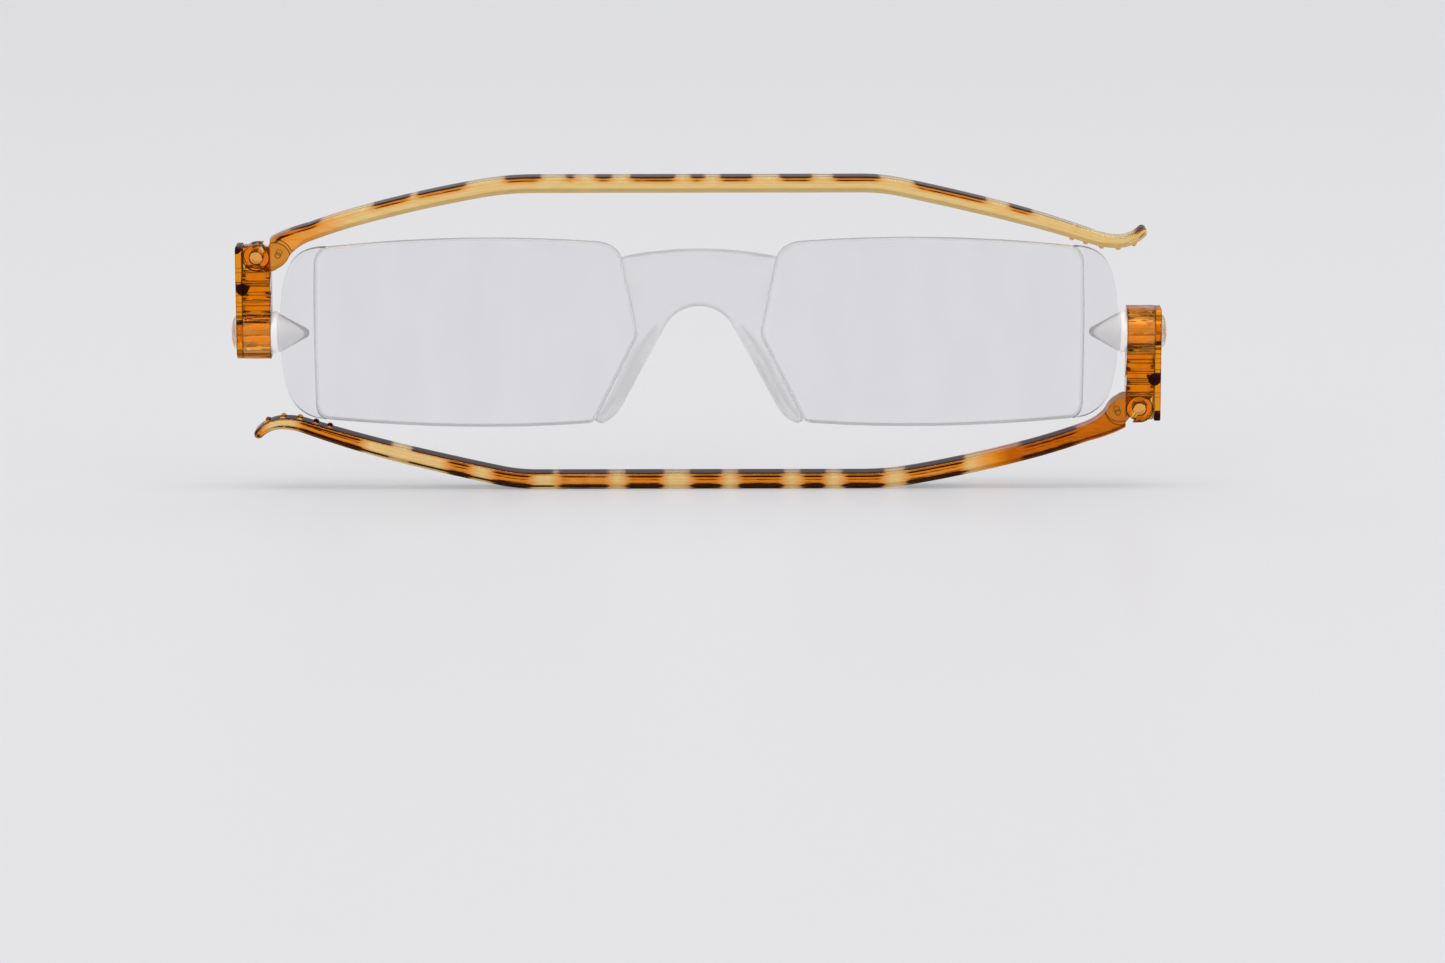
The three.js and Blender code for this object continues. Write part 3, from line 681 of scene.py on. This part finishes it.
def ball(centre, radius, rows=9, columns=16):
    """A ball: rings at even steps from pole to pole."""
    lean = np.linspace(0, np.pi, rows + 2)[1:-1, None]
    turn = np.linspace(0, 2 * np.pi, columns, endpoint=False)[None, :]
    rings = np.stack(np.broadcast_arrays(np.sin(lean) * np.cos(turn), np.cos(lean),
                                         np.sin(lean) * np.sin(turn)), -1)
    pole = np.array([0, radius, 0])
    return closed_rings(centre + radius * rings, centre + pole, centre - pole)


def grip_bumps():
    """Two rows of bumps on the inner face at the tip, at even distances back along it."""
    line, half = middle_line()
    steps = np.linalg.norm(np.diff(line[:, :2], axis=0), axis=1)
    behind = np.concatenate([[0], np.cumsum(steps)])
    behind = behind[-1] - behind
    turned = np.radians(line[:, 2])
    drop = (half - BUMP_SINK)[:, None] * np.stack([np.sin(turned), -np.cos(turned)], -1)
    inner = line[:, :2] + drop
    made = []
    for i in range(BUMP_COUNT):
        nearest = np.argmin(np.abs(behind - (BUMP_START + i * BUMP_PITCH)))
        for row in (-BUMP_ROWS / 2, BUMP_ROWS / 2):
            made.append(ball(np.array([inner[nearest, 0], row, inner[nearest, 1]]), BUMP_RADIUS))
    return made


def placed(name, surface):
    """A surface of a temple's own frame, laid back along the front of the glasses."""
    points, faces = surface
    return HINGE[name] + SIDES[name] * points * OWN_FRAME, faces


def temple_object(name):
    """The bar, joined with its ears and its grip bumps."""
    bar = loose_object(f"temple_{name}_shell", *placed(name, bar_mesh()))
    ears = [slab(ear_outline(), EAR_INSIDE, EAR_OUTSIDE), slab(ear_outline(), -EAR_OUTSIDE, -EAR_INSIDE)]
    added = loose_object("added", *placed(name, joined(ears + grip_bumps())))
    return united(bar, added)


def along_and_across(name, points):
    """Where points are on a temple: the distance from the hinge axis along X, and the height from the inner
    face, 0, to the outer face, 1, found from the nearest station."""
    own = (points - HINGE[name]) / (SIDES[name] * OWN_FRAME)
    outer, inner = temple_edges()
    centre, span = (outer + inner) / 2, outer - inner
    flat = own[:, [0, 2]]
    nearest = np.concatenate([np.argmin(np.linalg.norm(part[:, None] - centre[None], axis=2), axis=1)
                              for part in np.array_split(flat, max(1, len(flat) // 2000))])
    gap = flat - centre[nearest]
    rise = 0.5 + (gap * span[nearest]).sum(1) / (span[nearest] ** 2).sum(1)
    return own[:, 0], rise


def bands(reach, ranges, ends=2.2 * MM):
    """How strongly a place lies within ranges of reach, each with soft ends."""
    strong = np.zeros_like(reach)
    for start, end, strength in ranges:
        inside = np.minimum(reach - start * MM, end * MM - reach) / ends + 0.5
        strong = np.maximum(strong, strength * np.clip(inside, 0, 1))
    return strong


def temple_pattern(name, points):
    """How dark (patch, with painted shade on the lower temple's upward face) and how orange (glow) each
    point is, and its height (rise).
    """
    reach, rise = along_and_across(name, points)
    dark = bands(reach, PATCHES[name])
    if name == "right":
        shade = 1.3 * np.clip((rise - 0.5) / 0.4, 0, 1)
    else:
        # the lower temple's upward face is darkened further: partly its own dark colour, partly painted
        # shade
        dark = np.where(rise < UPWARD_FACE, np.maximum(dark, bands(reach, UPWARD_PATCHES_AND_SHADE)), dark)
        shade = 0.75 * np.clip(1.25 - 0.5 * rise, 0, 1)
    far, fade, strength, least = ROOT_GLOW[name]
    near = np.clip((far * MM - reach) / (fade * MM), 0, 1)
    return dark, np.maximum(shade * dark, strength * near) + least, rise


# ---------------- the pieces' operators

class PieceOperator(bpy.types.Operator):
    """What the operators share."""
    bl_options = {"REGISTER", "UNDO"}


def lens_outline(node, count=480):
    """The lens's border in X and Z, from the middle of its depth: points in order of their angle round the
    lens's middle, resampled at even distances and at every drawn corner."""
    points = points_of(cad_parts[node].data).astype(float)
    wall = points[np.abs(points[:, 1]) < 0.35 * FRONT_THICKNESS][:, [0, 2]]
    wall = np.unique(np.round(wall, 6), axis=0)
    centre = (wall.min(0) + wall.max(0)) / 2
    wall = wall[np.argsort(np.arctan2(*(wall - centre).T[::-1]))]
    closed = np.concatenate([wall, wall[:1]])
    along = np.concatenate([[0], np.cumsum(np.linalg.norm(np.diff(closed, axis=0), axis=1))])
    even = np.linspace(0, along[-1], count, endpoint=False)
    even = np.unique(np.concatenate([even, along[:-1]]))
    even = even[np.concatenate([[True], np.diff(even) > 0.02 * MM])]
    return np.stack([np.interp(even, along, closed[:, i]) for i in (0, 1)], -1), centre


def lens_mesh(node):
    """A domed lens, and 1 for each point on its edge wall: rings scaled from the border to the middle. From
    back to front they make a gently hollow back, a back bevel, the edge wall, a front bevel and a domed
    front."""
    size = settings("sizes")
    border, centre = lens_outline(node)
    half, bevel = FRONT_THICKNESS / 2, size.lens_bevel
    reach = np.abs(border - centre).max(0)
    inset = 1 - bevel / reach.min()
    grow = np.sin(np.linspace(0.04, 1, 14) * np.pi / 2)
    back = [(inset * g, half - 0.15 * size.lens_crown * (1 - g ** 2)) for g in grow]
    front = [(inset * g, -half - size.lens_crown * (1 - g ** 2)) for g in grow[::-1]]
    wall = [(1, half - 0.6 * bevel), (1, 0.6 * bevel - half)]
    rows = (*back, *wall, *front)
    rings = [np.insert(centre + scale * (border - centre), 1, depth, axis=1) for scale, depth in rows]
    poles = [np.array([centre[0], depth, centre[1]])
             for depth in (half - 0.15 * size.lens_crown, -half - size.lens_crown)]
    edge = np.concatenate([[float(scale == 1)] * len(border) for scale, _ in rows] + [[0, 0]])
    return closed_rings(np.stack(rings), *poles), edge


class GLASSES_OT_lenses(PieceOperator):
    """Make both lenses."""
    bl_idname = "glasses.lenses"
    bl_label = "Lenses"

    def execute(self, context):
        material = clear_plastic("lens_clear", settings("colours").lens, 0.0, 0.002 * MM, 0.6, 0.1, "edge")
        for name in SIDES:
            surface, edge = lens_mesh(f"lens_{name}")
            lens = loose_object(f"lens_{name}_polished", *surface)
            hold(lens.data, "edge", edge)
            settle(lens, "front", material, (f"lens_{name}",), 25)
        return {"FINISHED"}


# The bridge's outline, in mm from the middle and from the swivel axis, as the CAD model has it.
ARCH_TOP, ARCH_RADIUS, NOSE_SLOPE, FLARE_HEIGHT = 4.2, 5.8, 62, -11.6
BRIDGE_FOOT, BRIDGE_WAIST, BRIDGE_TURN = (16.15, -13.75), (9.8, -0.95), (9.45, -0.1)
BRIDGE_ABOVE, BRIDGE_CORNER = (9.6, 0.7), (11.85, 11.65)
BRIDGE_TOP, BRIDGE_HALF_DEPTH = 12.85, 1.6
LEG_GROWTH = 1.5  # how much the front's roll and the back's stand grow down the legs


def half_bridge():
    """Matching points of the opening and of the outer edge of one half of the bridge, from the foot up to
    the middle, in mm from the swivel axis, and how far each is from the top of the arch, 0 to 1."""
    slope = math.radians(NOSE_SLOPE)
    arch_z = ARCH_TOP - ARCH_RADIUS
    side = ARCH_RADIUS * np.array([math.sin(slope), math.cos(slope)]) + [0, arch_z]
    flare = np.array([side[0] + (side[1] - FLARE_HEIGHT) / math.tan(slope), FLARE_HEIGHT])
    foot = np.array([flare[0] + 3.1, BRIDGE_FOOT[1] - 0.5])
    around = np.linspace(math.pi / 2 - slope, math.pi / 2, 26)[1:, None]
    arch = ARCH_RADIUS * np.concatenate([np.cos(around), np.sin(around)], 1) + [0, arch_z]
    inside = np.concatenate([bezier(14, foot, (flare[0] + 1.2, foot[1] + 0.6), flare),
                             bezier(31, flare, side)[1:], arch])
    crown = ((0.5 * BRIDGE_CORNER[0], BRIDGE_TOP), (0, BRIDGE_TOP))
    outside = np.concatenate([bezier(40, BRIDGE_FOOT, BRIDGE_WAIST),
                              bezier(6, BRIDGE_WAIST, BRIDGE_TURN, BRIDGE_ABOVE)[1:],
                              bezier(11, BRIDGE_ABOVE, BRIDGE_CORNER)[1:],
                              bezier(14, BRIDGE_CORNER, *crown)[1:]])
    matched = np.linspace(0, len(inside) - 1, len(outside))
    inside = np.stack([np.interp(matched, np.arange(len(inside)), inside[:, i]) for i in (0, 1)], -1)
    return inside, outside


def bridge_mesh():
    """A section carried along the arch from foot to foot. Its front rolls back towards the opening, and its
    back stands out behind the opening's sides, where the bridge rests on the nose."""
    inside, outside = half_bridge()
    flip = np.array([-1, 1])
    inside = np.concatenate([inside, inside[-2::-1] * flip]) * MM
    outside = np.concatenate([outside, outside[-2::-1] * flip]) * MM
    across = outside - inside
    width = np.linalg.norm(across, axis=1)[:, None]
    low = np.clip((ARCH_TOP * MM - inside[:, 1:]) / (9 * MM), 0, 1)
    foot = np.clip((inside[:, 1:] - inside[0, 1]) / (3 * MM), 0, 1)
    leg = low * np.sqrt(foot)
    half = BRIDGE_HALF_DEPTH * MM
    roll_wide = np.minimum((0.9 + LEG_GROWTH * leg) * MM, 0.55 * width)
    roll_deep = (0.8 + LEG_GROWTH * leg) * MM
    stand = half + LEG_GROWTH * leg * MM
    turn = np.linspace(0, np.pi / 2, 12)[None, :]
    coarse, back = turn[:, ::3], turn[:, ::3][:, ::-1]
    edge = 0.3 * MM
    soft = np.linspace(0, 1, 8)[None, :]
    smooth = soft ** 2 * (3 - 2 * soft)
    rest_wide = np.minimum((0.5 + 1.6 * leg) * MM, 0.45 * width)
    slope_wide = np.minimum(1.4 * MM, 0.3 * width)
    rows = [  # the distance from the opening, and the depth, round the section
        (width - edge * (1 - np.sin(back)), -half + edge * (1 - np.cos(back))),
        (roll_wide * (1 - np.sin(turn)), -half + roll_deep * (1 - np.cos(turn))),
        (edge * (1 - np.cos(coarse)), stand - edge * (1 - np.sin(coarse))),
        (rest_wide + slope_wide * soft, stand - (stand - half) * smooth),
        (width - edge * (1 - np.cos(back)), half - edge * (1 - np.sin(back))),
    ]
    away, deep = (np.concatenate([np.broadcast_to(part, (len(width), part.shape[1])) for part in parts], 1)
                  for parts in zip(*rows))
    place = inside[:, None, :] + (across / width)[:, None, :] * away[:, :, None]
    return carried(np.stack([place[..., 0], deep, place[..., 1] + SWIVEL_HEIGHT], -1))


class GLASSES_OT_bridge(PieceOperator):
    """Make the satin bridge and its nose rests."""
    bl_idname = "glasses.bridge"
    bl_label = "Bridge"

    def execute(self, context):
        material = clear_plastic("frosted_clear", settings("colours").milky, 0.34, 0.006 * MM, 0.12, 0.035)
        bridge = loose_object("bridge_satin", *bridge_mesh())
        settle(bridge, "front", material, ("bridge",), 40)
        return {"FINISHED"}


# The lug, in mm from the middle and from the swivel axis, as the CAD model has it. The boss is a profile of
# radius and distance from the middle.
LUG_REACH, LUG_HORN, LUG_TOP, LUG_LOW, LUG_HALF_DEPTH = 64.85, 57.45, 13.45, -13.65, 0.9
BOSS_PROFILE = ((0, 60.35), (0.3, 60.38), (0.58, 60.56), (0.72, 60.75), (2.86, 64.6), (3.0, 64.8),
                (3.0, 65.06), (2.94, 65.1), (0, 65.1))


def carried_slab(inside, outside, half_depth, edge):
    """A slab between two matching borders in X and Z, station by station, whose outer edge is rounded: a
    flat section carried along the borders."""
    across = outside - inside
    width = np.linalg.norm(across, axis=1)[:, None]
    turn = np.linspace(0, np.pi / 2, 5)[None, :]
    edge = np.minimum(edge, 0.5 * width)
    out, depth = width - edge * (1 - np.sin(turn)), half_depth - edge * (1 - np.cos(turn))
    start = np.zeros_like(width)
    away = np.concatenate([start, start, out, out[:, ::-1]], 1)
    flat = np.full_like(width, half_depth)
    deep = np.concatenate([flat, -flat, -depth, depth[:, ::-1]], 1)
    place = inside[:, None, :] + (across / width)[:, None, :] * away[:, :, None]
    return carried(np.stack([place[..., 0], deep, place[..., 1]], -1))


def crescent_mesh(name):
    """The clear crescent outside a lens: its inner border follows the lens's border and its outer border is
    two curves that meet at the swivel axis. Both are matched by height."""
    side = SIDES[name]
    border, _ = lens_outline(f"lens_{name}")
    out, top, low = LUG_REACH, LUG_TOP, LUG_LOW
    outside = MM * np.concatenate([
        bezier(50, (LUG_HORN, top), (out - 1.2, top), (out - 0.3, top - 3.95), (out, 1)),
        bezier(50, (out, -1), (out - 0.3, low + 4.1), (out - 1.5, low + 0.4), (LUG_HORN, low))])
    beyond = border[border[:, 0] * side > LUG_HORN * MM]
    beyond = beyond[np.argsort(-beyond[:, 1])]
    heights = beyond[:, 1] - SWIVEL_HEIGHT
    share_down = (outside[0, 1] - outside[:, 1]) / (outside[0, 1] - outside[-1, 1])
    inner_z = heights[0] + share_down * (heights[-1] - heights[0])
    inner_x = np.interp(-inner_z, -heights, beyond[:, 0] * side) + 0.03 * MM
    inside = np.stack([inner_x, inner_z], -1)
    borders = (edge[2:-2] * [side, 1] + [0, SWIVEL_HEIGHT] for edge in (inside, outside))
    return carried_slab(*borders, LUG_HALF_DEPTH * MM, 0.25 * MM)


def turned_mesh(profile, side, columns=48):
    """A profile of radius and distance along X, turned about the swivel axis."""
    profile = np.array(profile) * MM
    turn = np.linspace(0, 2 * np.pi, columns, endpoint=False)[None, :]
    radius, along = profile[1:-1, :1], profile[1:-1, 1:]
    rings = np.stack(np.broadcast_arrays(side * along, radius * np.sin(turn),
                                         radius * np.cos(turn) + SWIVEL_HEIGHT), -1)
    poles = [np.array([side * x, 0, SWIVEL_HEIGHT]) for x in (profile[0, 1], profile[-1, 1])]
    return closed_rings(rings, *poles)


class GLASSES_OT_lugs(PieceOperator):
    """Make the clear end lugs."""
    bl_idname = "glasses.lugs"
    bl_label = "End lugs"

    def execute(self, context):
        look = settings("colours")
        clear = clear_plastic("clear_lug", look.clear, 0.10, 0.006 * MM)
        milky = clear_plastic("milky_boss", look.boss, 0.34, 0.006 * MM, 0.85, 0.13)
        for name, side in SIDES.items():
            crescent = loose_object(f"lug_{name}_clear", *crescent_mesh(name))
            settle(crescent, "front", clear, (f"lug_{name}",), 30)
            boss = loose_object(f"boss_{name}_milky", *turned_mesh(BOSS_PROFILE, side))
            settle(boss, "front", milky, (), 30)
        return {"FINISHED"}


class GLASSES_OT_swivels(PieceOperator):
    """Make the split swivel pins and their washers."""
    bl_idname = "glasses.swivels"
    bl_label = "Swivel pins and washers"

    def execute(self, context):
        look = settings("colours")
        washer = clear_plastic("clear_washer", look.washer, 0.3, 0.004 * MM, 0.85, 0.2)
        pin = clear_plastic("pale_pin", look.swivel_pin, 0.2, 0.004 * MM, glow=0.08)
        for name in SIDES:
            merged_copy(f"swivel_pin_{name}", f"pin_{name}_clear", "front", pin, 40)
            merged_copy(f"swivel_washer_{name}", f"washer_{name}_clear", f"end_{name}",
                        washer, 40)
        return {"FINISHED"}


class GLASSES_OT_end_pieces(PieceOperator):
    """Make the end pieces, side plates and hinge pins."""
    bl_idname = "glasses.end_pieces"
    bl_label = "End pieces"

    def execute(self, context):
        pin = clear_plastic("amber_pin", settings("colours").pin, 0.08, 0.006 * MM)
        for name in SIDES:
            block, plate = amber_block(name), amber_block(name, plate=True)
            for node, slot, material, sharp in (("end_piece", "amber_plastic", block, 30),
                                                ("side_plate", "tortoise_plastic", plate, 30),
                                                ("hinge_pin", "amber_plastic", pin, 40)):
                merged_copy(f"{node}_{name}", f"{node}_{name}_amber", f"end_{name}", material, sharp)
        return {"FINISHED"}


class GLASSES_OT_temples(PieceOperator):
    """Make both tortoiseshell temples."""
    bl_idname = "glasses.temples"
    bl_label = "Temples"

    def execute(self, context):
        for name in SIDES:
            material = tortoiseshell(name)
            temple = temple_object(name)
            pattern = temple_pattern(name, points_of(temple.data))
            for key, values in zip(("patch", "glow", "rise"), pattern):
                hold(temple.data, key, values)
            settle(temple, f"temple_{name}", material, (f"temple_{name}",), 35)
        return {"FINISHED"}


# ---------------- stage

def floor_mesh():
    """A floor that curves up into a backdrop: flat, then a quarter turn, then upright."""
    width, near, back, bend = 6.0, -2.0, 1.6, 0.8
    turn = np.linspace(0, np.pi / 2, 24)
    y = np.concatenate([[near], back + bend * np.sin(turn), [back + bend]])
    z = np.concatenate([[0], bend - bend * np.cos(turn), [3.0]])
    x = np.array([-width / 2, width / 2])
    points = np.stack(np.broadcast_arrays(x[None, :], y[:, None], z[:, None]), -1).reshape(-1, 3)
    row = np.arange(len(y) - 1)
    faces = np.stack([2 * row, 2 * row + 1, 2 * row + 3, 2 * row + 2], -1)
    return points, faces


def floor_material(tone):
    """A pale satin light table with a faint grain: it glows evenly, so that shadows on it stay soft."""
    g = Graph("pale_floor")
    grain = g.noise(g.place(), 900, 3)
    rough = 0.34 + 0.06 * grain
    return g.finish(g.plastic(Base_Color=tuple(tone), Roughness=rough, IOR=1.4,
                              Emission_Color=(0.985, 0.985, 1.0), Emission_Strength=0.29))


# Soft lights: where each is and its width and height, in metres, and its share of the key light's power.
LIGHTS = {"soft_top": ((0.0, -0.05, 1.5), 1.6, 0.3, 1.0), "soft_front": ((-0.9, -1.3, 1.1), 0.9, 0.9, 0.33),
          "soft_right": ((1.2, -0.5, 0.8), 0.6, 1.0, 0.12)}


def area_light(name, place, aim, width, height, power):
    """A soft rectangular light that faces a point."""
    lamp = bpy.data.lights.new(name, "AREA")
    lamp.shape, lamp.size, lamp.size_y, lamp.energy = "RECTANGLE", width, height, power
    holder = on_scene(name, lamp)
    holder.location = place
    holder.rotation_euler = (Vector(aim) - Vector(place)).to_track_quat("-Z", "Y").to_euler()


def studio_world(strength):
    """Even light from all round that falls off behind the viewer, as the dark side of a studio does."""
    g = Graph("studio", bpy.data.worlds.new("studio"))
    direction = g.node("ShaderNodeTexCoord")
    ahead = g.node("ShaderNodeSeparateXYZ", out=1, Vector=direction)
    tone = g.mix(g.step(ahead, -0.95, 0.05), (0.10, 0.10, 0.11), (0.985, 0.985, 1.0))
    return g.finish(g.node("ShaderNodeBackground", Color=tone, Strength=strength))


class GLASSES_OT_stage(PieceOperator):
    """Set up the floor, the lights and the camera."""
    bl_idname = "glasses.stage"
    bl_label = "Stage"

    def execute(self, context):
        stage = settings("stage")
        points, faces = floor_mesh()
        mesh = bpy.data.meshes.new("floor")
        mesh.from_pydata(points.tolist(), [], faces.tolist())
        mesh.shade_smooth()
        floor = on_scene("floor", mesh)
        paint(floor, floor_material(stage.floor_colour))

        for name, (place, width, height, part) in LIGHTS.items():
            area_light(name, place, (0, 0, SWIVEL_HEIGHT), width, height, part * stage.key_power)
        context.scene.world = studio_world(stage.sky_strength)

        camera_data = bpy.data.cameras.new("camera")
        camera_data.sensor_width, camera_data.lens = 36, stage.focal_length
        camera_data.clip_start, camera_data.clip_end = 0.01, 20
        camera = on_scene("camera", camera_data)
        up = np.array([0, math.sin(stage.pitch), math.cos(stage.pitch)])
        axis = np.array([0, math.cos(stage.pitch), -math.sin(stage.pitch)])
        aim = np.array([stage.aim_right, 0, 0]) + up * stage.aim_up
        camera.location = aim - axis * stage.distance
        camera.rotation_mode = "XYZ"
        camera.rotation_euler = (math.pi / 2 - stage.pitch, 0, 0)
        context.view_layer.update()
        camera.matrix_world = camera.matrix_world @ Matrix.Rotation(-stage.roll, 4, "Z")
        context.scene.camera = camera
        context.scene.view_settings.view_transform = "Standard"
        return {"FINISHED"}


# ---------------- panel and registration

OPERATORS = (GLASSES_OT_lenses, GLASSES_OT_bridge, GLASSES_OT_lugs, GLASSES_OT_swivels,
             GLASSES_OT_end_pieces, GLASSES_OT_temples, GLASSES_OT_stage)
GROUPS = {"sizes": GlassesSizes, "colours": GlassesColours, "stage": GlassesStage}


class GLASSES_PT_panel(bpy.types.Panel):
    """Lists the glasses' sizes, colours and pieces."""
    bl_idname = "GLASSES_PT_panel"
    bl_label = "Folding reading glasses"
    bl_space_type = "VIEW_3D"
    bl_region_type = "UI"
    bl_category = "Glasses"

    def draw(self, context):
        for name, group in GROUPS.items():
            held = settings(name)
            box = self.layout.box()
            box.label(text=name.capitalize())
            for key in group.__annotations__:
                box.prop(held, key)
        for operator in OPERATORS:
            self.layout.operator(operator.bl_idname)


def register():
    """Registers the classes and puts the settings on the scene."""
    for each in (*GROUPS.values(), *OPERATORS, GLASSES_PT_panel):
        bpy.utils.register_class(each)
    for name, group in GROUPS.items():
        setattr(bpy.types.Scene, f"glasses_{name}", bpy.props.PointerProperty(type=group))


def unregister():
    """Takes the settings and the classes away again."""
    for name in GROUPS:
        delattr(bpy.types.Scene, f"glasses_{name}")
    for each in (GLASSES_PT_panel, *reversed(OPERATORS), *reversed(GROUPS.values())):
        bpy.utils.unregister_class(each)


def main():
    """Makes every piece and the stage."""
    register()
    bpy.ops.glasses.lenses()
    bpy.ops.glasses.bridge()
    bpy.ops.glasses.lugs()
    bpy.ops.glasses.swivels()
    bpy.ops.glasses.end_pieces()
    bpy.ops.glasses.temples()
    bpy.ops.glasses.stage()


if __name__ == "__main__":
    main()
